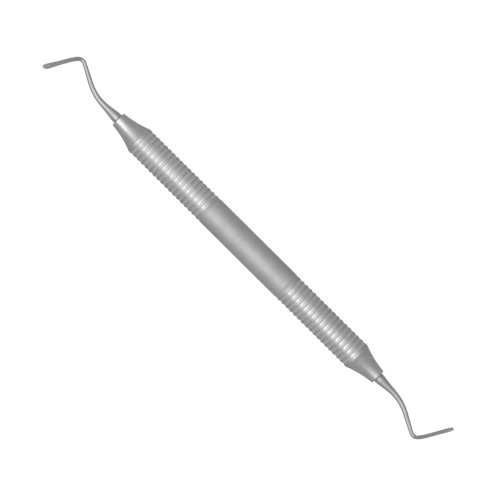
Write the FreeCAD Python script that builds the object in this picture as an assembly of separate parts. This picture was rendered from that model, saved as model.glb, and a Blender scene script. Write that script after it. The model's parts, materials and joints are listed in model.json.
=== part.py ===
import FreeCAD, Part
import math
import os

Vector = FreeCAD.Vector

# Handle: a hollow grip, parallel along its body, with a concave nose at each end
handle_diameter = 9.5
body_length = 95.0
wall = 0.9
nose_length = 9.3
nose_hollow = 0.35  # how far the nose's curve dips below its chord
mouth_diameter = 5.1
mouth_chamfer = 0.2
cavity_setback = 0.5  # from the shoulder back to the end of the hollow

# Grip rings: V grooves turned round the body on both sides of a plain middle
plain_middle_length = 33.1
end_band_length = 0.85
rings_per_side = 18
groove_mouth = 1.1
groove_depth = 0.28

# Tang: the plug that holds a working end in the handle's neck
tang_diameter = 2.8
tang_length = 9.0
braze_gap = 0.02

# Shank: a foot seated against the nose, a hollow taper, then a nearly even wire
seat_ledge = 0.23  # how far the foot stands out round the tang
seat_length = 1.3
taper_length = 8.6
taper_hollow = 0.17
taper_end_diameter = 1.73
elbow_diameter = 1.3

# Bends, from the mouth to the tip: straight runs with an arc between each and the next
root_straight = 6.2
first_bend_angle = 28.0
first_bend_radius = 16.5
middle_straight = 6.4
elbow_angle = 79.0
elbow_radius = 2.1
blade_bend_angle = 9.0  # the blade goes on curving the elbow's way
blade_bend_radius = 18.5
tip_straight = 8.3
first_bend_steps = 4  # straight steps that a bend is skinned in
half_elbow_steps = 3
blade_bend_steps = 2

# Blade: flat and even from the middle of the elbow, then growing wider to the head
blade_root_width = 1.26
blade_neck_width = 1.54
blade_thickness = 1.12
flare_length = 5.8  # from the tip back to where the blade starts to widen
long_edge_chamfer = 0.15

# Head: an oval plate with leaning teeth round its rim, its point off the middle
head_width = 1.84
head_tip_thickness = 0.94
head_tip_offset = 0.28
near_side_length = 2.07
far_side_length = 2.77
near_rounding_length = 1.0
far_rounding_length = 1.6
teeth = 13
tooth_depth = 0.26
tooth_lean = 0.64  # share of a tooth's pitch that its long flank takes
notch_run = 0.15  # along the edge, from the blade's side down into the end notches
rim_steps_per_tooth = 25

handle_radius = handle_diameter / 2
mouth_x = body_length / 2 + nose_length
tang_radius = tang_diameter / 2
seat_radius = tang_radius + seat_ledge


def line(start, end):
    return Part.LineSegment(start, end).toShape()


def polyline(points):
    return [line(a, b) for a, b in zip(points, points[1:])]


def dipped_arc(start, end, dip):
    """An arc between two points whose middle lies a given depth to the left of the chord."""
    chord = end - start
    left = Vector(-chord.y, chord.x, 0).normalize()
    return Part.Arc(start, (start + end) / 2 + left * dip, end).toShape()


# Handle

def groove_points(centre_x):
    return [
        Vector(centre_x - groove_mouth / 2, handle_radius, 0),
        Vector(centre_x, handle_radius - groove_depth, 0),
        Vector(centre_x + groove_mouth / 2, handle_radius, 0),
    ]


def handle_half_outline():
    """Edges of the handle's half section on the +X side, from the middle out and back inside."""
    shoulder = Vector(body_length / 2, handle_radius, 0)
    first_ring = plain_middle_length / 2 + groove_mouth / 2
    last_ring = shoulder.x - end_band_length - groove_mouth / 2
    pitch = (last_ring - first_ring) / (rings_per_side - 1)

    mouth_radius = mouth_diameter / 2
    bore_radius = tang_radius + braze_gap
    cavity_radius = handle_radius - wall
    cavity_end = shoulder.x - cavity_setback
    nose_end = Vector(mouth_x - mouth_chamfer, mouth_radius, 0)

    outside = [Vector(0, handle_radius, 0)]
    for ring in range(rings_per_side):
        outside += groove_points(first_ring + ring * pitch)
    outside.append(shoulder)
    inside = [
        nose_end,
        Vector(mouth_x, mouth_radius - mouth_chamfer, 0),
        Vector(mouth_x, bore_radius, 0),
        Vector(cavity_end, bore_radius, 0),
        Vector(cavity_end, cavity_radius, 0),
        Vector(0, cavity_radius, 0),
    ]
    nose = dipped_arc(shoulder, nose_end, -nose_hollow)
    return polyline(outside) + [nose] + polyline(inside)


def handle():
    right = handle_half_outline()
    left = [edge.mirror(Vector(0, 0, 0), Vector(1, 0, 0)) for edge in right]
    outline = Part.Wire(Part.__sortEdges__(right + left))
    solid = Part.Face(outline).revolve(Vector(0, 0, 0), Vector(1, 0, 0), 360)
    return solid.removeSplitter()


# Working end, drawn from the mouth outward along +X with its bends in the XY plane


def arc_leg(angle, radius, side):
    """Length and curvature of a bend, to the left for side 1 and to the right for -1."""
    return radius * math.radians(angle), side / radius


legs = [
    (root_straight, 0),
    arc_leg(first_bend_angle, first_bend_radius, -1),
    (middle_straight, 0),
    arc_leg(elbow_angle, elbow_radius, 1),
    arc_leg(blade_bend_angle, blade_bend_radius, 1),
    (tip_straight, 0),
]
first_bend_start = legs[0][0]
first_bend_end = first_bend_start + legs[1][0]
elbow_start = first_bend_end + legs[2][0]
elbow_middle = elbow_start + legs[3][0] / 2
elbow_end = elbow_start + legs[3][0]
blade_bend_end = elbow_end + legs[4][0]
tip_end = blade_bend_end + legs[5][0]


def station(distance):
    """Point and heading on the centreline, a distance from the mouth."""
    point = Vector(0, 0, 0)
    heading = 0
    for length, curvature in legs:
        step = min(distance, length)
        turn = curvature * step
        chord = 2 / curvature * math.sin(turn / 2) if curvature else step
        point += Vector(math.cos(heading + turn / 2), math.sin(heading + turn / 2), 0) * chord
        heading += turn
        distance -= step
    return point, heading


def at_station(shape, distance, turn=0):
    """Place a shape drawn along +X on the centreline, turned first about its own length."""
    point, heading = station(distance)
    placed = shape.copy()
    placed.rotate(Vector(0, 0, 0), Vector(1, 0, 0), turn)
    placed.rotate(Vector(0, 0, 0), Vector(0, 0, 1), math.degrees(heading))
    placed.translate(point)
    return placed


def shank_radius(distance):
    """Seat, then the hollow taper as a true arc, then an even cone to the elbow."""
    end_radius = taper_end_diameter / 2
    taper_end = seat_length + taper_length
    if distance <= seat_length:
        return seat_radius
    if distance <= taper_end:
        drop = seat_radius - end_radius
        chord = math.hypot(taper_length, drop)
        sweep_radius = (chord**2 / 4 + taper_hollow**2) / (2 * taper_hollow)
        rise = sweep_radius - taper_hollow
        centre_x = (seat_length + taper_end) / 2 + rise * drop / chord
        centre_y = (seat_radius + end_radius) / 2 + rise * taper_length / chord
        return centre_y - math.sqrt(sweep_radius**2 - (distance - centre_x) ** 2)
    share = min((distance - taper_end) / (elbow_start - taper_end), 1)
    return end_radius + share * (elbow_diameter / 2 - end_radius)


def ring(radius):
    return Part.Wire(Part.Circle(Vector(0, 0, 0), Vector(1, 0, 0), radius).toShape())


def turned_root():
    """Tang, seat and the straight stretch of the taper, turned round the handle's axis."""
    bend = first_bend_start
    half_way = (seat_length + bend) / 2
    seat_edge = Vector(seat_length, seat_radius, 0)
    taper_middle = Vector(half_way, shank_radius(half_way), 0)
    taper_end = Vector(bend, shank_radius(bend), 0)
    outline = polyline([
        taper_end,
        Vector(bend, 0, 0),
        Vector(-tang_length, 0, 0),
        Vector(-tang_length, tang_radius, 0),
        Vector(0, tang_radius, 0),
        Vector(0, seat_radius, 0),
        seat_edge,
    ])
    outline.append(Part.Arc(seat_edge, taper_middle, taper_end).toShape())
    return Part.Face(Part.Wire(outline)).revolve(Vector(0, 0, 0), Vector(1, 0, 0), 360)


def steps_between(start, end, steps):
    """Distances after the start, evenly spaced up to the end."""
    return [start + (end - start) * step / steps for step in range(1, steps + 1)]


def bent_shank():
    """Round wire from the first bend to the middle of the elbow, skinned over rings."""
    distances = [first_bend_start]
    distances += steps_between(first_bend_start, first_bend_end, first_bend_steps)
    distances.append(elbow_start)
    distances += steps_between(elbow_start, elbow_middle, half_elbow_steps)
    rings = [at_station(ring(shank_radius(distance)), distance) for distance in distances]
    return Part.makeLoft(rings, True, True)


def flat_section(width):
    """Outline across the blade: a rectangle with its four long edges chamfered."""
    half_width = width / 2
    half_thickness = blade_thickness / 2
    flat_width = half_width - long_edge_chamfer
    flat_side = half_thickness - long_edge_chamfer
    corners = [
        Vector(0, flat_width, half_thickness),
        Vector(0, half_width, flat_side),
        Vector(0, half_width, -flat_side),
        Vector(0, flat_width, -half_thickness),
        Vector(0, -flat_width, -half_thickness),
        Vector(0, -half_width, -flat_side),
        Vector(0, -half_width, flat_side),
        Vector(0, -flat_width, half_thickness),
    ]
    return Part.Wire(polyline(corners + corners[:1]))


def blade_stock(blade_turn, neck_length):
    """Flattened stock round the second half of the elbow and on to the head's neck."""
    even = [elbow_middle] + steps_between(elbow_middle, elbow_end, half_elbow_steps)
    even += steps_between(elbow_end, blade_bend_end, blade_bend_steps)
    even.append(tip_end - flare_length)
    root = flat_section(blade_root_width)
    neck = flat_section(blade_neck_width)
    sections = [at_station(root, distance, blade_turn) for distance in even]
    sections.append(at_station(neck, tip_end - neck_length, blade_turn))
    return Part.makeLoft(sections, True, True)


def head_rim():
    """The line through the tooth tips, from the near side round the point to the far side."""
    half = head_width / 2
    point = Vector(0, -head_tip_offset, 0)
    near_start = Vector(-near_rounding_length, -half, 0)
    far_end = Vector(-far_rounding_length, half, 0)

    def quarter_ellipse(length, width, start, end):
        centre = Vector(-length, -head_tip_offset, 0)
        long_way = max(length, width)
        ellipse = Part.Ellipse(centre, long_way, min(length, width))
        if width > length:
            ellipse.rotate(FreeCAD.Placement(centre, Vector(0, 0, 1), 90))
        return Part.ArcOfEllipse(ellipse, ellipse.parameter(start), ellipse.parameter(end)).toShape()

    return Part.Wire([
        line(Vector(-near_side_length, -half, 0), near_start),
        quarter_ellipse(near_rounding_length, half - head_tip_offset, near_start, point),
        quarter_ellipse(far_rounding_length, half + head_tip_offset, point, far_end),
        line(far_end, Vector(-far_side_length, half, 0)),
    ])


def tooth_points():
    """Roots and tips in turn along the rim, each tooth leaning the same way round."""
    rim = head_rim().discretize(teeth * rim_steps_per_tooth + 1)
    lean_steps = round(tooth_lean * rim_steps_per_tooth)
    last = len(rim) - 1
    points = []
    for index in range(0, last + 1, rim_steps_per_tooth):
        along = rim[min(index + 1, last)] - rim[max(index - 1, 0)]
        inward = Vector(-along.y, along.x, 0).normalize()
        points.append(rim[index] + inward * tooth_depth)
        if index < last:
            points.append(rim[index + lean_steps])
    return points


def toothed_head(neck_length):
    """Plate cut to the toothed plan, then to a side outline that thins it towards the point."""
    half_neck = blade_neck_width / 2
    back = -neck_length
    plan = [
        Vector(back, -half_neck, 0),
        Vector(-near_side_length - notch_run, -half_neck, 0),
        *tooth_points(),
        Vector(-far_side_length - notch_run, half_neck, 0),
        Vector(back, half_neck, 0),
        Vector(back, -half_neck, 0),
    ]
    half_thick = blade_thickness / 2
    half_tip = head_tip_thickness / 2
    crease = -near_side_length
    side = [
        Vector(back, 0, -half_thick),
        Vector(crease, 0, -half_thick),
        Vector(0, 0, -half_tip),
        Vector(0, 0, half_tip),
        Vector(crease, 0, half_thick),
        Vector(back, 0, half_thick),
        Vector(back, 0, -half_thick),
    ]
    plate = Part.Face(Part.Wire(polyline(plan))).extrude(Vector(0, 0, blade_thickness))
    plate.translate(Vector(0, 0, -half_thick))
    wedge = Part.Face(Part.Wire(polyline(side))).extrude(Vector(0, 2 * head_width, 0))
    wedge.translate(Vector(0, -head_width, 0))
    return plate.common(wedge)


def working_end(blade_turn):
    neck_length = far_side_length + 2 * notch_run
    head = at_station(toothed_head(neck_length), tip_end, blade_turn)
    pieces = [bent_shank(), blade_stock(blade_turn, neck_length), head]
    solid = turned_root().multiFuse(pieces).removeSplitter().Solids[0]
    solid.translate(Vector(mouth_x, 0, 0))
    return solid


# Both ends have the same bends; the left one is swung half a turn round the upright axis,
# its blade lies flat in the plane of the bends, and the right one's stands across that plane
left_end = working_end(0)
left_end.rotate(Vector(0, 0, 0), Vector(0, 0, 1), 180)
pieces = {
    "handle": handle(),
    "working_end_left": left_end,
    "working_end_right": working_end(90),
}

os.makedirs("parts", exist_ok=True)
for name, shape in pieces.items():
    shape.translate(Vector(0, 0, handle_radius))
    shape.exportStep("parts/%s.step" % name)
    print(name, "valid", shape.isValid(), "volume", round(shape.Volume, 2), shape.BoundBox)
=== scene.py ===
import json
from math import asin, atan2, cos, hypot, pi, radians, sin, sqrt, tan

import bmesh
import bpy
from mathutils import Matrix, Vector

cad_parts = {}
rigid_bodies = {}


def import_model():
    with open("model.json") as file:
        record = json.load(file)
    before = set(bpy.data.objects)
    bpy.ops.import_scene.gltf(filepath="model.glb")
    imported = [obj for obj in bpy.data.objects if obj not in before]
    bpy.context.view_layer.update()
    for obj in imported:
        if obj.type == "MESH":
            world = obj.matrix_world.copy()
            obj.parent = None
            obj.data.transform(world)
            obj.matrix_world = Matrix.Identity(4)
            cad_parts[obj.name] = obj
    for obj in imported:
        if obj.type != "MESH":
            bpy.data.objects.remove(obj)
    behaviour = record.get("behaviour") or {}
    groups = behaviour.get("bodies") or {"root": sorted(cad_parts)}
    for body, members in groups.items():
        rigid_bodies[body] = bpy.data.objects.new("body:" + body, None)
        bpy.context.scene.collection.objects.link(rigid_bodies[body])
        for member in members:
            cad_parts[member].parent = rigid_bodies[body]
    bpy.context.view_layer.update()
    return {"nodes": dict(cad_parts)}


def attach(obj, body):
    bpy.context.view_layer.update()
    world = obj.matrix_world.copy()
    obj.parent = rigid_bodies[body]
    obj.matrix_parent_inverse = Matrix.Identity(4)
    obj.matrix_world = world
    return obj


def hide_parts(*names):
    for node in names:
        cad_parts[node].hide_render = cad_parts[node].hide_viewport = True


# Gingival cord packer on a white table, seen from straight above.
# Sizes in the dictionaries are millimetres, X runs along the handle.

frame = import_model()
print("frame loaded:", sorted(frame["nodes"]))

mm = 0.001
# the handle lies on the table, its axis one radius above it
axisHeight = 4.75


# Small helpers for modelling as by hand

def deselectAll():
    for other in bpy.context.view_layer.objects:
        other.select_set(False)


def activate(piece):
    deselectAll()
    piece.select_set(True)
    bpy.context.view_layer.objects.active = piece


def editMode(piece):
    activate(piece)
    bpy.ops.object.mode_set(mode="EDIT")


def objectMode():
    bpy.ops.object.mode_set(mode="OBJECT")


def startRing(name, x, radius, corners, filled=False):
    # a circle that stands across the X axis, ready to be pulled along it
    deselectAll()
    bpy.ops.mesh.primitive_circle_add(
        vertices=corners, radius=radius * mm, fill_type="NGON" if filled else "NOTHING",
        location=(x * mm, 0, 0), rotation=(0, pi / 2, 0))
    piece = bpy.context.object
    piece.name = name
    bpy.ops.object.transform_apply(location=True, rotation=True, scale=True)
    editMode(piece)
    return piece


def pullRings(stations, fromX, fromRadius):
    # extrudes the selected ring through (x, radius) stations, as on a lathe
    for x, radius in stations:
        bpy.ops.mesh.extrude_region_move(
            TRANSFORM_OT_translate={"value": ((x - fromX) * mm, 0, 0)})
        if radius != fromRadius:
            grow = radius / fromRadius
            bpy.ops.transform.resize(value=(1, grow, grow), center_override=(x * mm, 0, 0))
        fromX, fromRadius = x, radius


def pickVerts(piece, wanted):
    bpy.ops.mesh.select_all(action="DESELECT")
    mesh = bmesh.from_edit_mesh(piece.data)
    for vert in mesh.verts:
        if wanted(vert.co / mm):
            vert.select_set(True)
    mesh.select_flush_mode()
    bmesh.update_edit_mesh(piece.data)


def pickFaces(piece, wanted):
    bpy.ops.mesh.select_all(action="DESELECT")
    mesh = bmesh.from_edit_mesh(piece.data)
    for face in mesh.faces:
        if wanted(face.calc_center_median() / mm):
            face.select_set(True)
    bmesh.update_edit_mesh(piece.data)


def joinPieces(parts, name):
    activate(parts[0])
    for part in parts:
        part.select_set(True)
    if len(parts) > 1:
        bpy.ops.object.join()
    parts[0].name = name
    parts[0].data.name = name
    return parts[0]


def applyModifier(piece, kind, **settings):
    activate(piece)
    added = piece.modifiers.new(kind.lower(), kind)
    for key, value in settings.items():
        setattr(added, key, value)
    bpy.ops.object.modifier_apply(modifier=added.name)


def closeMesh(piece, gap):
    editMode(piece)
    bpy.ops.mesh.select_all(action="SELECT")
    bpy.ops.mesh.remove_doubles(threshold=gap * mm)
    bpy.ops.mesh.normals_make_consistent(inside=False)
    objectMode()


def smoothBelow(piece, angle):
    activate(piece)
    bpy.ops.object.shade_smooth_by_angle(angle=radians(angle))


def placePiece(piece, move, turn=0):
    activate(piece)
    piece.rotation_euler = (0, 0, radians(turn))
    piece.location = [value * mm for value in move]
    bpy.ops.object.transform_apply(location=True, rotation=True, scale=True)


# Materials

def addNode(tree, kind, **settings):
    node = tree.nodes.new("ShaderNode" + kind)
    for key, value in settings.items():
        if key in node.inputs:
            node.inputs[key].default_value = value
        else:
            setattr(node, key, value)
    return node


def feed(tree, value, socket):
    # the value is a number or the output of another node
    if hasattr(value, "is_linked"):
        tree.links.new(value, socket)
    else:
        socket.default_value = value


def mathNode(tree, operation, *values):
    node = addNode(tree, "Math", operation=operation)
    for value, socket in zip(values, node.inputs):
        feed(tree, value, socket)
    return node.outputs[0]


def times(tree, first, second):
    return mathNode(tree, "MULTIPLY", first, second)


def less(tree, first, second):
    return mathNode(tree, "SUBTRACT", first, second)


def ramp(tree, value, low, high, toLow, toHigh):
    node = addNode(tree, "MapRange", clamp=True, **{
        "From Min": low, "From Max": high, "To Min": toLow, "To Max": toHigh})
    feed(tree, value, node.inputs["Value"])
    return node.outputs["Result"]


def vary(tree, noise, low, high):
    # a noise mostly lies between 0.3 and 0.7
    return ramp(tree, noise, 0.3, 0.7, low, high)


def mix(tree, share, first, second):
    # first where the share is 0, second where it is 1
    node = addNode(tree, "Mix")
    for value, key in ((share, "Factor"), (first, "A"), (second, "B")):
        feed(tree, value, node.inputs[key])
    return node.outputs["Result"]


def splitPlace(tree, place):
    node = addNode(tree, "SeparateXYZ")
    feed(tree, place, node.inputs[0])
    return node.outputs["X"], node.outputs["Y"], node.outputs["Z"]


def turnPlace(tree, place, degrees):
    node = addNode(tree, "Mapping", Rotation=[radians(angle) for angle in degrees])
    feed(tree, place, node.inputs["Vector"])
    return node.outputs["Vector"]


def noiseNode(tree, place, stretch, scale, detail, roughness=0.5):
    mapping = addNode(tree, "Mapping", Scale=stretch)
    feed(tree, place, mapping.inputs["Vector"])
    noise = addNode(tree, "TexNoise", Scale=scale, Detail=detail, Roughness=roughness)
    feed(tree, mapping.outputs["Vector"], noise.inputs["Vector"])
    return noise.outputs["Fac"]


def greyColor(tree, value):
    node = addNode(tree, "CombineColor")
    for name in ("Red", "Green", "Blue"):
        feed(tree, value, node.inputs[name])
    return node.outputs["Color"]


def newSteel(name):
    material = bpy.data.materials.new(name)
    material.use_nodes = True
    tree = material.node_tree
    shader = tree.nodes["Principled BSDF"]
    shader.inputs["Metallic"].default_value = 1
    return material, tree, shader


def finishSteel(tree, shader, finish, tone, rough, height):
    feed(tree, greyColor(tree, tone), shader.inputs["Base Color"])
    feed(tree, rough, shader.inputs["Roughness"])
    bumps = addNode(tree, "Bump", Strength=finish["bumpStrength"],
                    Distance=finish["bumpHeight"] * mm)
    feed(tree, height, bumps.inputs["Height"])
    feed(tree, bumps.outputs["Normal"], shader.inputs["Normal"])
    shader.inputs["Specular Tint"].default_value = (finish["edgeTint"],) * 3 + (1,)


handleFinish = {
    "land": 0.262,
    "ringLand": 0.285,
    # lighter than the lands: painted sheen for light the grooves catch, lifting their shade
    "groove": 0.328,
    "noseAndBand": 0.255,
    "landRoughness": 0.70,
    "ringLandRoughness": 0.64,
    "grooveRoughness": 0.47,
    "noseRoughness": 0.46,
    "grooveMetal": 0.74,
    "ringSpread": 0.5,
    "edgeTint": 0.6,
    # where one finish gives way to the next, along the handle and out from its axis
    "ringsFade": (17.7, 17.9),
    "noseFade": (46.9, 47.7),
    "grooveFade": (4.68, 4.745),
    "mottle": 0.05,
    "mottleScale": 260,
    "turningLines": 0.06,
    "lineScale": 9000,
    "lineStretch": (1, 0.03, 0.03),
    "grain": 0.03,
    "grainScale": 9000,
    "grainBump": 0.5,
    "bumpStrength": 0.25,
    "bumpHeight": 0.004,
}


def makeHandleSteel():
    finish = handleFinish
    material, tree, shader = newSteel("handleSteel")
    place = addNode(tree, "TexCoord").outputs["Object"]
    x, y, z = splitPlace(tree, place)
    # millimetres out from the handle's axis and along it from the middle
    up = less(tree, z, axisHeight * mm)
    radius = mathNode(tree, "SQRT", mathNode(tree, "ADD", times(tree, y, y), times(tree, up, up)))
    radius = mathNode(tree, "DIVIDE", radius, mm)
    along = mathNode(tree, "DIVIDE", mathNode(tree, "ABSOLUTE", x), mm)
    onNose = ramp(tree, along, *finish["noseFade"], 0, 1)
    # the shallow first groove has the finish of the plain middle
    onRings = times(tree, ramp(tree, along, *finish["ringsFade"], 0, 1), less(tree, 1, onNose))
    inGroove = times(tree, ramp(tree, radius, *finish["grooveFade"], 1, 0), onRings)

    mottle = noiseNode(tree, place, (1, 1, 1), finish["mottleScale"], detail=3)
    lines = noiseNode(tree, place, finish["lineStretch"], finish["lineScale"], detail=2)
    grain = noiseNode(tree, place, (1, 1, 1), finish["grainScale"], detail=2)

    tone = ramp(tree, onRings, 0, 1, finish["land"], finish["ringLand"])
    # the grooves get a lighter tone: painted sheen that lifts their shade
    tone = mix(tree, inGroove, tone, finish["groove"])
    tone = mix(tree, onNose, tone, finish["noseAndBand"])
    tone = times(tree, tone, vary(tree, mottle, 1 - finish["mottle"], 1 + finish["mottle"]))
    tone = times(tree, tone, vary(
        tree, lines, 1 - finish["turningLines"], 1 + finish["turningLines"]))

    rough = ramp(tree, onRings, 0, 1, finish["landRoughness"], finish["ringLandRoughness"])
    rough = mix(tree, inGroove, rough, finish["grooveRoughness"])
    rough = mix(tree, onNose, rough, finish["noseRoughness"])
    rough = mathNode(tree, "ADD", rough, vary(tree, grain, -finish["grain"], finish["grain"]))

    height = mathNode(tree, "ADD", lines, times(tree, grain, finish["grainBump"]))
    finishSteel(tree, shader, finish, tone, rough, height)
    # fine turning marks round the rings spread a highlight along the handle
    alongHandle = addNode(tree, "CombineXYZ", X=1)
    feed(tree, alongHandle.outputs[0], shader.inputs["Tangent"])
    feed(tree, ramp(tree, onRings, 0, 1, 0, finish["ringSpread"]), shader.inputs["Anisotropic"])
    # the rough bottoms of the grooves scatter some of the light
    feed(tree, ramp(tree, inGroove, 0, 1, 1, finish["grooveMetal"]), shader.inputs["Metallic"])
    return material


shankFinish = {
    "tone": 0.225,
    "seamShadeTone": 0.2,
    "seamFade": 0.06,
    "roughness": 0.55,
    "smoother": 0.03,
    "rougher": 0.05,
    "edgeTint": 0.5,
    "mottle": 0.05,
    "mottleScale": 700,
    "mottleStretch": (0.4, 1, 1),
    "lineScale": 12000,
    "lineStretch": (1, 0.05, 0.05),
    "bumpStrength": 0.15,
    "bumpHeight": 0.003,
}


def makeShankSteel():
    finish = shankFinish
    material, tree, shader = newSteel("shankSteel")
    place = addNode(tree, "Attribute", attribute_name="straightPlace").outputs["Vector"]
    mottle = noiseNode(tree, place, finish["mottleStretch"], finish["mottleScale"], detail=3)
    lines = noiseNode(tree, place, finish["lineStretch"], finish["lineScale"], detail=2)
    tone = vary(tree, mottle, finish["tone"] * (1 - finish["mottle"]),
                finish["tone"] * (1 + finish["mottle"]))
    # the crevice at the handle's mouth is darker: painted shade in the crevice, partly a dark
    # joint
    seam = endSizes["seamWidth"]
    tone = times(tree, tone, ramp(
        tree, splitPlace(tree, place)[0], seam * mm, (seam + finish["seamFade"]) * mm,
        finish["seamShadeTone"] / finish["tone"], 1))
    rough = vary(tree, lines, finish["roughness"] - finish["smoother"],
                 finish["roughness"] + finish["rougher"])
    finishSteel(tree, shader, finish, tone, rough, lines)
    return material


bladeFinish = {
    "tone": 0.2,
    "headTone": 0.235,
    # distances from the tip
    "headFade": (3.2, 2.2),
    "toothShadeTone": 0.06,
    # the teeth's painted shade is full this many times as far out as the notch bottoms
    "toothFade": 1.12,
    "glintLow": 0.06,
    "glintHigh": 0.72,
    "glintNoise": (0.35, 0.65),
    "glintScale": 9000,
    "glintStretch": (1, 1, 0.3),
    # height over the blade's middle plane
    "flankFade": (0.43, 0.46),
    "roughness": 0.85,
    "roughSwing": 0.08,
    "edgeTint": 0.6,
    "mottle": 0.08,
    "mottleScale": 900,
    "grindTurn": (20, 0, 28),
    "lineScale": 14000,
    "lineStretch": (1, 0.04, 0.04),
    "noiseRoughness": 0.6,
    "bumpStrength": 0.3,
    "bumpHeight": 0.005,
    # milling marks like a rope, in the corners along the far long edge
    "ropeLow": 0.07,
    "ropeHigh": 0.36,
    "ropePitch": 0.3,
    "ropeWidth": 0.17,
    "ropeTurn": (-50, 0, 50),
    "ropeDistortion": 1.5,
    "ropeDetail": 2,
    # scale at which the wave texture repeats once in a unit of length
    "ropeUnitScale": 0.31,
    "ropeEdgeFade": 0.03,
    "ropeHeadFade": 0.1,
    "ropeCornerFade": 0.04,
    "ropeOffCorner": 0.12,
}


def toothShare(tree, x, y):
    # 0 on the head's face up to the notch bottoms, 1 on the teeth outside them, which get painted
    # shade and painted glints
    size = bladeSizes
    sideways = mathNode(tree, "ADD", y, size["pointOffset"] * mm)
    isFar = mathNode(tree, "GREATER_THAN", sideways, 0)
    near = size["nearRounding"], size["headHalfWidth"] - size["pointOffset"], size["nearSide"]
    far = size["farRounding"], size["headHalfWidth"] + size["pointOffset"], size["farSide"]
    rounding, reach, side = [
        ramp(tree, isFar, 0, 1, onNear * mm, onFar * mm) for onNear, onFar in zip(near, far)]
    depth = size["toothDepth"] * mm
    fromTip = less(tree, tipEnd * mm, x)
    ahead = mathNode(tree, "MAXIMUM", less(tree, rounding, fromTip), 0)
    ahead = mathNode(tree, "DIVIDE", ahead, less(tree, rounding, depth))
    out = mathNode(tree, "ABSOLUTE", sideways)
    out = mathNode(tree, "DIVIDE", out, less(tree, reach, depth))
    beyond = mathNode(tree, "SQRT", mathNode(
        tree, "ADD", times(tree, ahead, ahead), times(tree, out, out)))
    share = ramp(tree, beyond, 1.0, bladeFinish["toothFade"], 0, 1)
    return times(tree, share, mathNode(tree, "LESS_THAN", fromTip, side))


def ropeShare(tree, x, y, height):
    # 1 in the corners along the far long edge of the blade, behind the head
    size, finish = bladeSizes, bladeFinish
    neckX = tipEnd - size["farSide"]
    half = ramp(tree, x, (tipEnd - size["flareLength"]) * mm, neckX * mm,
                size["rootHalfWidth"] * mm, size["neckHalfWidth"] * mm)
    onEdge = ramp(tree, less(tree, half, y), (finish["ropeWidth"] - finish["ropeEdgeFade"]) * mm,
                  finish["ropeWidth"] * mm, 1, 0)
    offHead = ramp(tree, x, (neckX - finish["ropeHeadFade"]) * mm, neckX * mm, 1, 0)
    corner = size["halfThickness"] - finish["ropeWidth"]
    onCorner = ramp(tree, height, corner * mm, (corner + finish["ropeCornerFade"]) * mm,
                    finish["ropeOffCorner"], 1)
    return times(tree, times(tree, onEdge, offHead), onCorner)


def makeBladeSteel():
    # ground flats with slanting lines, teeth in painted shade, painted glints on the teeth's
    # flanks
    finish = bladeFinish
    material, tree, shader = newSteel("bladeSteel")
    place = addNode(tree, "Attribute", attribute_name="straightPlace").outputs["Vector"]
    x, y, z = splitPlace(tree, place)
    height = mathNode(tree, "ABSOLUTE", z)
    patchy = finish["noiseRoughness"]
    lines = noiseNode(tree, turnPlace(tree, place, finish["grindTurn"]), finish["lineStretch"],
                      finish["lineScale"], detail=3, roughness=patchy)
    mottle = noiseNode(tree, place, (1, 1, 1), finish["mottleScale"], detail=4, roughness=patchy)
    tone = ramp(tree, x, *[(tipEnd - away) * mm for away in finish["headFade"]],
                finish["tone"], finish["headTone"])

    # milling marks like a rope
    rope = addNode(tree, "TexWave", **{
        "Scale": finish["ropeUnitScale"] / (finish["ropePitch"] * mm),
        "Distortion": finish["ropeDistortion"],
        "Detail": finish["ropeDetail"],
        "Detail Scale": finish["ropeDetail"]})
    feed(tree, turnPlace(tree, place, finish["ropeTurn"]), rope.inputs["Vector"])
    ropeTone = ramp(tree, rope.outputs["Fac"], 0, 1, finish["ropeLow"], finish["ropeHigh"])
    tone = mix(tree, ropeShare(tree, x, y, height), tone, ropeTone)

    teeth = toothShare(tree, x, y)
    # the teeth are painted dark: painted shade for their sloping faces
    tone = mix(tree, teeth, tone, finish["toothShadeTone"])
    # painted glints and painted shade mottled on the teeth's flanks
    glint = noiseNode(tree, place, finish["glintStretch"], finish["glintScale"],
                      detail=3, roughness=patchy)
    glintTone = ramp(tree, glint, *finish["glintNoise"], finish["glintLow"], finish["glintHigh"])
    offFace = ramp(tree, height, *[edge * mm for edge in finish["flankFade"]], 1, 0)
    tone = mix(tree, times(tree, teeth, offFace), tone, glintTone)
    tone = times(tree, tone, vary(tree, mottle, 1 - finish["mottle"], 1 + finish["mottle"]))
    rough = vary(tree, lines, finish["roughness"] - finish["roughSwing"],
                 finish["roughness"] + finish["roughSwing"])
    finishSteel(tree, shader, finish, tone, rough, lines)
    return material


# Handle: turned on a lathe, half of it modelled and mirrored

handleSizes = {
    "radius": 4.75,
    "halfBody": 47.5,
    "middleSteps": 4,
    "firstGroove": 17.11,
    "lastGroove": 46.1,
    "grooves": 18,
    "grooveHalfMouth": 0.68,
    "grooveDepth": 0.22,
    "firstGrooveDepth": 0.16,
    "grooveSteps": 12,
    "shoulderRound": 0.35,
    "shoulderSteps": 5,
    "mouthX": 56.8,
    "mouthRadius": 2.55,
    "mouthRound": 0.3,
    "mouthSteps": 5,
    "noseDip": 0.35,
    "noseSteps": 24,
    "boreRadius": 1.42,
    "faceRadius": 1.75,
    "faceDish": 0.06,
    "cavityEnd": 47.0,
    "cavityRadius": 3.85,
    "corners": 128,
    "joinGap": 0.001,
    "closeGap": 0.002,
    "smoothAngle": 40,
}


def grooveStations(centre, fullDepth, pitch):
    # over one groove to the middle of the next land
    size = handleSizes
    halfMouth, steps = size["grooveHalfMouth"], size["grooveSteps"]
    stations = []
    for step in range(steps + 1):
        offset = halfMouth * (2 * step / steps - 1)
        depth = fullDepth * cos(pi * offset / (2 * halfMouth)) ** 2
        stations.append((centre + offset, size["radius"] - depth))
    return stations + [(centre + pitch / 2, size["radius"])]


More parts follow.
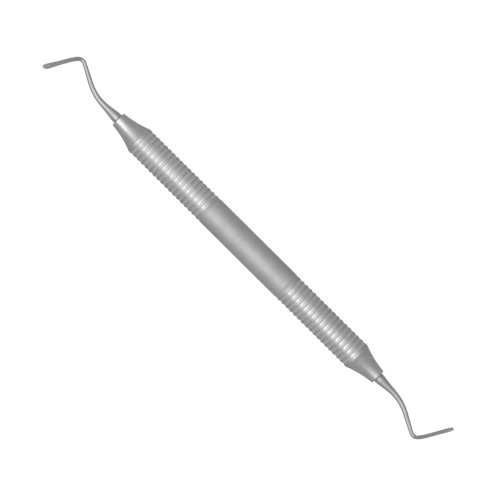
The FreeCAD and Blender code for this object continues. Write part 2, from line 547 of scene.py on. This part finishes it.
def noseStations():
    # shoulder, concave nose, rounded rim, mouth, bore and the hollow inside
    size = handleSizes
    radius, mouthRound = size["radius"], size["mouthRound"]
    shoulder, steps = size["shoulderRound"], size["shoulderSteps"]
    rimX = size["mouthX"] - mouthRound
    noseRun = rimX - size["halfBody"]
    blend = shoulder / noseRun

    def noseRadius(share):
        drop = (radius - size["mouthRadius"]) * share
        return radius - drop - 4 * size["noseDip"] * share * (1 - share)

    stations = [(size["halfBody"] - shoulder, radius)]
    for step in range(1, steps):
        share = step / steps
        before = size["halfBody"] - shoulder * (1 - share)
        after = size["halfBody"] + shoulder * share
        onNose = radius * (1 - share) + noseRadius(blend * share) * share
        stations.append((before * (1 - share) + after * share,
                         radius * (1 - share) + onNose * share))
    for step in range(size["noseSteps"] + 1):
        share = blend + (1 - blend) * step / size["noseSteps"]
        stations.append((size["halfBody"] + noseRun * share, noseRadius(share)))
    for step in range(1, size["mouthSteps"] + 1):
        turn = pi / 2 * step / size["mouthSteps"]
        stations.append((rimX + mouthRound * sin(turn),
                         size["mouthRadius"] - mouthRound * (1 - cos(turn))))
    return stations + [
        (size["mouthX"] - size["faceDish"], size["faceRadius"]),
        (size["mouthX"] - size["faceDish"], size["boreRadius"]),
        (size["cavityEnd"], size["boreRadius"]),
        (size["cavityEnd"], size["cavityRadius"]),
        (0, size["cavityRadius"]),
    ]


def makeHandle():
    size = handleSizes
    radius, corners = size["radius"], size["corners"]
    joinGap = size["joinGap"] * mm
    pitch = (size["lastGroove"] - size["firstGroove"]) / (size["grooves"] - 1)
    ringsStart = size["firstGroove"] - pitch / 2
    ringsEnd = size["lastGroove"] + pitch / 2

    # plain middle and the shallow first groove beside it
    middle = startRing("plainMiddle", 0, radius, corners)
    stations = [(ringsStart * step / size["middleSteps"], radius)
                for step in range(1, size["middleSteps"] + 1)]
    stations += grooveStations(size["firstGroove"], size["firstGrooveDepth"], pitch)
    pullRings(stations, 0, radius)
    objectMode()

    # one ring of the grip, from the middle of a land over a groove to the next land
    rings = startRing("gripRing", ringsStart + pitch, radius, corners)
    stations = grooveStations(size["firstGroove"] + pitch, size["grooveDepth"], pitch)
    pullRings(stations, ringsStart + pitch, radius)
    objectMode()
    applyModifier(rings, "ARRAY", count=size["grooves"] - 1, use_relative_offset=False,
                  use_constant_offset=True, constant_offset_displace=(pitch * mm, 0, 0),
                  use_merge_vertices=True, merge_threshold=joinGap)

    nose = startRing("nose", ringsEnd, radius, corners)
    pullRings(noseStations(), ringsEnd, radius)
    objectMode()

    handle = joinPieces([middle, rings, nose], "handleSteelTube")
    applyModifier(handle, "MIRROR", use_axis=(True, False, False), merge_threshold=joinGap)
    placePiece(handle, (0, 0, axisHeight))
    closeMesh(handle, size["closeGap"])
    smoothBelow(handle, size["smoothAngle"])
    handle.data.materials.append(makeHandleSteel())
    return handle


# Working ends: turned and ground straight, teeth filed, then rolled and bent

endSizes = {
    "tangLength": 9.0,
    "tangRadius": 1.4,
    "tangShoulder": 0.3,
    "seamStart": 0.06,
    "seamDepth": 0.07,
    "seamWidth": 0.08,
    "footRadius": 1.63,
    "footChamfer": 0.07,
    "footLength": 1.3,
    "footEdge": 0.25,
    "taperLength": 8.6,
    "taperHollow": 0.17,
    "taperEndRadius": 0.865,
    "taperSteps": 24,
    "elbowRadius": 0.65,
    "wireSteps": 40,
    "corners": 64,
    "runs": [
        # length, or turn in degrees and radius, from the mouth to the tip
        ("straight", 6.2),
        ("bend", -28.0, 16.5),
        ("straight", 6.4),
        ("elbow", 79.0, 2.1),
        ("bend", 9.0, 18.5),
        ("straight", 8.3),
    ],
    "curveSteps": 64,
    "straightGap": 0.0005,
    "closeGap": 0.0003,
    "smoothAngle": 30,
}
bladeSizes = {
    "rootHalfWidth": 0.63,
    "neckHalfWidth": 0.77,
    "flareLength": 5.8,
    "headHalfWidth": 0.92,
    "halfThickness": 0.56,
    "tipHalfThickness": 0.47,
    "cornerShare": 0.9,
    "rootBlend": 0.8,
    "rootSteps": 5,
    "nearSide": 2.07,
    "nearShoulder": 0.4,
    "farSide": 2.77,
    "nearRounding": 1.0,
    "farRounding": 1.6,
    "pointOffset": 0.28,
    # rings along the blade: a few close ones, then up to the flare, the neck and the tip
    "closeRings": 5,
    "closePitch": 0.18,
    "shaftRings": 12,
    "flareRings": 6,
    "neckStep": 0.03,
    "neckSlack": 0.01,
    "headRings": (2.47, 2.27, 2.07, 1.75),
    "tipRun": 1.5,
    "tipRings": 16,
    "tipGap": 0.004,
    "teeth": 13,
    "toothDepth": 0.26,
    "toothLean": 0.64,
    "endNotch": 0.15,
    "fileReach": 1.6,
    "fileLength": 2,
    # points on the rim's straight sides and on its near and far rounding
    "sidePoints": 20,
    "nearPoints": 60,
    "farPoints": 90,
}


def bendRuns():
    # straight runs and arcs of the centreline as (length, turn in radians, radius)
    made = []
    for run in endSizes["runs"]:
        if run[0] == "straight":
            made.append((run[1], 0, 0))
        else:
            made.append((run[2] * abs(radians(run[1])), radians(run[1]), run[2]))
    return made


runs = bendRuns()
elbowStart = sum(run[0] for run in runs[:3])
elbowMiddle = elbowStart + runs[3][0] / 2
tipEnd = sum(run[0] for run in runs)


def wireRadius(x):
    size = endSizes
    taperEnd = size["footLength"] + size["taperLength"]
    if x <= size["footLength"]:
        return size["footRadius"]
    if x <= taperEnd:
        share = (x - size["footLength"]) / size["taperLength"]
        chord = size["footRadius"] + (size["taperEndRadius"] - size["footRadius"]) * share
        return chord - 4 * size["taperHollow"] * share * (1 - share)
    share = min((x - taperEnd) / (elbowStart - taperEnd), 1)
    return size["taperEndRadius"] + (size["elbowRadius"] - size["taperEndRadius"]) * share


def bladeEdges(x):
    # near and far edge of the blade, and half its thickness, at a distance from the mouth
    size = bladeSizes
    neckHalf = size["neckHalfWidth"]
    fromTip = tipEnd - x
    neckX = tipEnd - size["farSide"]
    if x < neckX:
        flareX = tipEnd - size["flareLength"]
        share = max(x - flareX, 0) / (neckX - flareX)
        half = size["rootHalfWidth"] + (neckHalf - size["rootHalfWidth"]) * share
        return -half, half, size["halfThickness"]

    def edge(side, rounding):
        if fromTip >= rounding:
            return side * size["headHalfWidth"]
        reach = size["headHalfWidth"] + side * size["pointOffset"]
        return -size["pointOffset"] + side * reach * sqrt(1 - (1 - fromTip / rounding) ** 2)

    grow = min(max((fromTip - size["nearSide"]) / size["nearShoulder"], 0), 1)
    near = edge(-1, size["nearRounding"]) * (1 - grow) - neckHalf * grow
    # the ring at the neck still has the neck's width on the far side
    atNeck = fromTip > size["farSide"] - size["neckSlack"]
    far = neckHalf if atNeck else edge(1, size["farRounding"])
    share = min(fromTip / size["nearSide"], 1)
    thick = size["tipHalfThickness"] + (size["halfThickness"] - size["tipHalfThickness"]) * share
    return near, far, thick


def bladePlaces():
    # where the rings of the blade and head stand, after the root's own
    size = bladeSizes
    neckX = tipEnd - size["farSide"]
    flareX = tipEnd - size["flareLength"]
    rootEnd = elbowMiddle + size["rootBlend"]
    places = [rootEnd + size["closePitch"] * step for step in range(1, size["closeRings"] + 1)]
    for endX, count in ((flareX, size["shaftRings"]), (neckX, size["flareRings"])):
        startX = places[-1]
        places += [startX + (endX - startX) * step / count for step in range(1, count + 1)]
    places.append(neckX + size["neckStep"])
    places += [tipEnd - away for away in size["headRings"]]
    count = size["tipRings"]
    places += [tipEnd - size["tipRun"] * (1 - sin(pi / 2 * step / count)) for step in range(count)]
    places.append(tipEnd - size["tipGap"])
    return places


def grindFlats(piece, x, near, far, thick):
    # pushes what stands out of the last ring flat against the four ground faces
    onRing = 0.0005
    cuts = [
        (lambda co: co.y < near, (1, 0, 1), (x, near, 0)),
        (lambda co: co.y > far, (1, 0, 1), (x, far, 0)),
        (lambda co: co.z < -thick, (1, 1, 0), (x, 0, -thick)),
        (lambda co: co.z > thick, (1, 1, 0), (x, 0, thick)),
    ]
    for beyond, squeeze, pivot in cuts:
        pickVerts(piece, lambda co: abs(co.x - x) < onRing and beyond(co))
        bpy.ops.transform.resize(value=squeeze, center_override=[value * mm for value in pivot])
    pickFaces(piece, lambda co: abs(co.x - x) < onRing)


def rimPoint(share):
    # point of the line through the tooth tips and the way along it, near side first
    size = bladeSizes
    half, offset, sideCount = size["headHalfWidth"], size["pointOffset"], size["sidePoints"]
    nearRound, farRound = size["nearRounding"], size["farRounding"]
    nearRun = size["nearSide"] - nearRound
    farRun = size["farSide"] - farRound
    path = [Vector((-size["nearSide"] + nearRun * step / sideCount, -half))
            for step in range(sideCount)]
    for step in range(size["nearPoints"]):
        turn = pi / 2 * step / size["nearPoints"]
        path.append(Vector((nearRound * (sin(turn) - 1), -offset - (half - offset) * cos(turn))))
    for step in range(size["farPoints"]):
        turn = pi / 2 * step / size["farPoints"]
        path.append(Vector((farRound * (cos(turn) - 1), -offset + (half + offset) * sin(turn))))
    path += [Vector((-farRound - farRun * step / sideCount, half))
             for step in range(sideCount + 1)]
    lengths = [(b - a).length for a, b in zip(path, path[1:])]
    target = min(max(share, 0), 1) * sum(lengths)
    for start, end, length in zip(path, path[1:], lengths):
        if target <= length:
            way = (end - start) / length
            return start + way * target, way
        target -= length
    return path[-1], (path[-1] - path[-2]).normalized()


def makeNotchFiles(first):
    # a three-sided file for every second notch between two teeth, copied round the rim
    size = bladeSizes
    last, lean, reach = size["teeth"], size["toothLean"], size["fileReach"]
    files = []
    for index in range(first, last + 1, 2):
        root, way = rimPoint(index / last)
        before, after = root - way * size["endNotch"], root + way * size["endNotch"]
        if index:
            before = rimPoint((index - 1 + lean) / last)[0]
        if index < last:
            after = rimPoint((index + lean) / last)[0]
        bottom = root + Vector((-way.y, way.x)) * size["toothDepth"]
        corners = [bottom, bottom + (before - bottom) * reach, bottom + (after - bottom) * reach]
        deselectAll()
        bpy.ops.mesh.primitive_cylinder_add(vertices=3, radius=mm, depth=size["fileLength"] * mm)
        notch = bpy.context.object
        for vert in notch.data.vertices:
            # which of the three long edges this corner belongs to
            third = int(round(atan2(vert.co.x, vert.co.y) / (2 * pi / 3))) % 3
            vert.co.x = (tipEnd + corners[third].x) * mm
            vert.co.y = corners[third].y * mm
        files.append(notch)
    joined = joinPieces(files, "notchFiles")
    closeMesh(joined, 0)
    return joined


def wireStations():
    # end of the tang, crevice, chamfered foot, hollow taper and the wire up to the elbow
    size = endSizes
    foot = size["footRadius"]
    taperEnd = size["footLength"] + size["taperLength"]
    stations = [
        (-size["tangShoulder"], size["tangRadius"]),
        (-size["seamStart"], foot - size["seamDepth"]),
        (size["seamWidth"], foot - size["seamDepth"]),
        (size["seamWidth"], foot - size["footChamfer"]),
        (size["seamWidth"] + size["footChamfer"], foot),
        (size["footLength"] - size["footEdge"], foot),
    ]
    for step in range(size["taperSteps"] + 1):
        x = size["footLength"] + size["taperLength"] * step / size["taperSteps"]
        stations.append((x, wireRadius(x)))
    for step in range(1, size["wireSteps"] + 1):
        x = taperEnd + (elbowMiddle - taperEnd) * step / size["wireSteps"]
        stations.append((x, wireRadius(x)))
    return stations


def makeStraightEnd():
    size, blade = endSizes, bladeSizes
    tangX, tangRadius = -size["tangLength"], size["tangRadius"]
    piece = startRing("straightEnd", tangX, tangRadius, size["corners"], filled=True)
    pullRings(wireStations(), tangX, tangRadius)

    # the round wire grows flat on four sides
    lastX, wire = elbowMiddle, size["elbowRadius"]
    near, far, thick = bladeEdges(elbowMiddle + blade["rootBlend"])
    corner, lastCorner = blade["cornerShare"] * hypot(far, thick), wire
    for step in range(1, blade["rootSteps"] + 1):
        share = step / blade["rootSteps"]
        x = elbowMiddle + blade["rootBlend"] * share
        newCorner = wire + (corner - wire) * share
        pullRings([(x, newCorner)], lastX, lastCorner)
        halfFlat = wire + (far - wire) * share
        grindFlats(piece, x, -halfFlat, halfFlat, wire + (thick - wire) * share)
        lastX, lastCorner = x, newCorner

    # then the rings follow the outline of blade and head
    for x in bladePlaces():
        newNear, newFar, newThick = bladeEdges(x)
        shift = (newNear + newFar - near - far) / 2
        bpy.ops.mesh.extrude_region_move(
            TRANSFORM_OT_translate={"value": ((x - lastX) * mm, shift * mm, 0)})
        bpy.ops.transform.resize(
            value=(1, (newFar - newNear) / (far - near), newThick / thick),
            center_override=(x * mm, (newNear + newFar) / 2 * mm, 0))
        lastX, near, far, thick = x, newNear, newFar, newThick
    objectMode()
    closeMesh(piece, size["straightGap"])

    for first in (0, 1):
        files = makeNotchFiles(first)
        applyModifier(piece, "BOOLEAN", operation="DIFFERENCE", solver="EXACT", object=files)
        bpy.data.objects.remove(files)
    # faces with many corners are cut into triangles before the bending
    editMode(piece)
    bpy.ops.mesh.select_mode(type="FACE")
    bpy.ops.mesh.select_all(action="DESELECT")
    bpy.ops.mesh.select_face_by_sides(number=4, type="GREATER")
    bpy.ops.mesh.quads_convert_to_tris(ngon_method="BEAUTY")
    objectMode()
    return piece


def bendPath(name):
    # centreline from the mouth as a flat curve: straight runs with an arc at each bend
    curve = bpy.data.curves.new(name, "CURVE")
    curve.dimensions = "2D"
    curve.resolution_u = endSizes["curveSteps"]
    path = bpy.data.objects.new(name, curve)
    bpy.context.collection.objects.link(path)
    # each knot has its place, its heading and the arms before and after it
    knots = [[Vector((0, 0)), 0, 1, 1]]
    for length, turn, radius in runs:
        place, heading = knots[-1][:2]
        arm, chord = length / 3, length
        if turn:
            # the arm length with which a cubic curve follows an arc
            arm = 4 / 3 * tan(abs(turn) / 4) * radius
            chord = 2 * radius * sin(abs(turn) / 2)
        middle = heading + turn / 2
        knots[-1][3] = arm
        knots.append([place + Vector((cos(middle), sin(middle))) * chord, heading + turn, arm, 1])
    spline = curve.splines.new("BEZIER")
    spline.bezier_points.add(len(knots) - 1)
    for point, (place, heading, armBefore, armAfter) in zip(spline.bezier_points, knots):
        along = Vector((cos(heading), sin(heading)))
        point.handle_left_type = point.handle_right_type = "FREE"
        point.co = (place * mm).to_3d()
        point.handle_left = ((place - along * armBefore) * mm).to_3d()
        point.handle_right = ((place + along * armAfter) * mm).to_3d()
    return path


def makeWorkingEnd(straight, name, roll, turn, side):
    activate(straight)
    bpy.ops.object.duplicate()
    piece = bpy.context.object
    piece.name = name
    piece.data.name = name
    # remember where each point lay before bending, for the grinding lines
    unbent = piece.data.attributes.new("straightPlace", "FLOAT_VECTOR", "POINT")
    flat = [0.0] * (3 * len(piece.data.vertices))
    piece.data.vertices.foreach_get("co", flat)
    unbent.data.foreach_set("vector", flat)
    piece.data.materials.append(shankSteel)
    piece.data.materials.append(bladeSteel)
    for face in piece.data.polygons:
        face.material_index = 1 if face.center.x / mm > elbowMiddle else 0
    piece.rotation_euler = (radians(roll), 0, 0)
    bpy.ops.object.transform_apply(location=True, rotation=True, scale=True)
    path = bendPath(name + "Path")
    applyModifier(piece, "CURVE", object=path, deform_axis="POS_X")
    bpy.data.objects.remove(path)
    placePiece(piece, (side * handleSizes["mouthX"], 0, axisHeight), turn)
    closeMesh(piece, endSizes["closeGap"])
    smoothBelow(piece, endSizes["smoothAngle"])
    return piece


print("materials and sizes ready")
handle = makeHandle()
print("handle:", len(handle.data.polygons), "faces")
shankSteel = makeShankSteel()
bladeSteel = makeBladeSteel()
straight = makeStraightEnd()
print("straight end:", len(straight.data.polygons), "faces")
leftEnd = makeWorkingEnd(straight, "leftWorkingEnd", roll=0, turn=180, side=-1)
rightEnd = makeWorkingEnd(straight, "rightWorkingEnd", roll=90, turn=0, side=1)
bpy.data.objects.remove(straight)

for piece, node, slot in ((handle, "handle", "handle_steel"),
                          (leftEnd, "working_end_left", "working_end_steel"),
                          (rightEnd, "working_end_right", "working_end_steel")):
    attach(piece, "root")
    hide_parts(node)
print("pieces in place")


# White table: camera, glossy and clear rays see it nearly white, other rays its own colour

roomSettings = {
    "floorSize": 6.0,
    "floorColor": 0.12,
    "floorGlow": 0.92,
    "worldLight": 0.25,
    "lampDistance": 0.75,
    "lamps": [
        # name, power, size, lean from straight above
        ("mainSoftbox", 6.2, (0.75, 0.2), (-0.165, -0.36)),
        ("sideSoftbox", 2.15, (0.55, 0.12), (-0.1, 0.2)),
    ],
    "photoWidth": 155.28,
    "cameraDistance": 0.8,
    "cameraTurn": 44.79,
    "cameraCentre": (0.85, 0.03),
    "sensorWidth": 36,
    "clipStart": 0.05,
}


def seenRays(tree):
    path = addNode(tree, "LightPath")
    seen = mathNode(tree, "MAXIMUM", path.outputs["Is Camera Ray"], path.outputs["Is Glossy Ray"])
    return mathNode(tree, "MAXIMUM", seen, path.outputs["Is Transmission Ray"])


def makeFloor():
    deselectAll()
    bpy.ops.mesh.primitive_plane_add(size=roomSettings["floorSize"])
    floor = bpy.context.object
    floor.name = "floor"
    material = bpy.data.materials.new("whiteTable")
    material.use_nodes = True
    tree = material.node_tree
    tree.nodes.remove(tree.nodes["Principled BSDF"])
    pale = addNode(tree, "BsdfDiffuse", Color=(roomSettings["floorColor"],) * 3 + (1,))
    glow = addNode(tree, "Emission")
    strength = times(tree, seenRays(tree), roomSettings["floorGlow"])
    feed(tree, strength, glow.inputs["Strength"])
    both = addNode(tree, "AddShader")
    feed(tree, pale.outputs[0], both.inputs[0])
    feed(tree, glow.outputs[0], both.inputs[1])
    feed(tree, both.outputs[0], tree.nodes["Material Output"].inputs["Surface"])
    floor.data.materials.append(material)


def makeWorld():
    world = bpy.data.worlds.new("paleRoom")
    bpy.context.scene.world = world
    world.use_nodes = True
    tree = world.node_tree
    background = tree.nodes["Background"]
    background.inputs["Color"].default_value = (1, 1, 1, 1)
    strength = ramp(tree, seenRays(tree), 0, 1, roomSettings["worldLight"], 1)
    feed(tree, strength, background.inputs["Strength"])


def makeLamps():
    for name, power, size, lean in roomSettings["lamps"]:
        way = Vector((lean[0], lean[1], 1)).normalized()
        bpy.ops.object.light_add(type="AREA", location=way * roomSettings["lampDistance"])
        lamp = bpy.context.object
        lamp.name = name
        lamp.data.shape = "RECTANGLE"
        lamp.data.size, lamp.data.size_y = size
        lamp.data.energy = power
        # turned to shine at the middle of the table
        lamp.rotation_euler = (-asin(way.y), asin(way.x / cos(asin(way.y))), 0)


def makeCamera():
    room = roomSettings
    bpy.ops.object.camera_add(
        location=(room["cameraCentre"][0] * mm, room["cameraCentre"][1] * mm,
                  room["cameraDistance"] + axisHeight * mm),
        rotation=(0, 0, radians(room["cameraTurn"])))
    camera = bpy.context.object
    camera.data.sensor_width = room["sensorWidth"]
    camera.data.lens = room["sensorWidth"] * room["cameraDistance"] / (room["photoWidth"] * mm)
    camera.data.clip_start = room["clipStart"]
    bpy.context.scene.camera = camera


makeFloor()
makeWorld()
makeLamps()
makeCamera()
bpy.context.scene.view_settings.view_transform = "Standard"
print("table, light and camera ready")
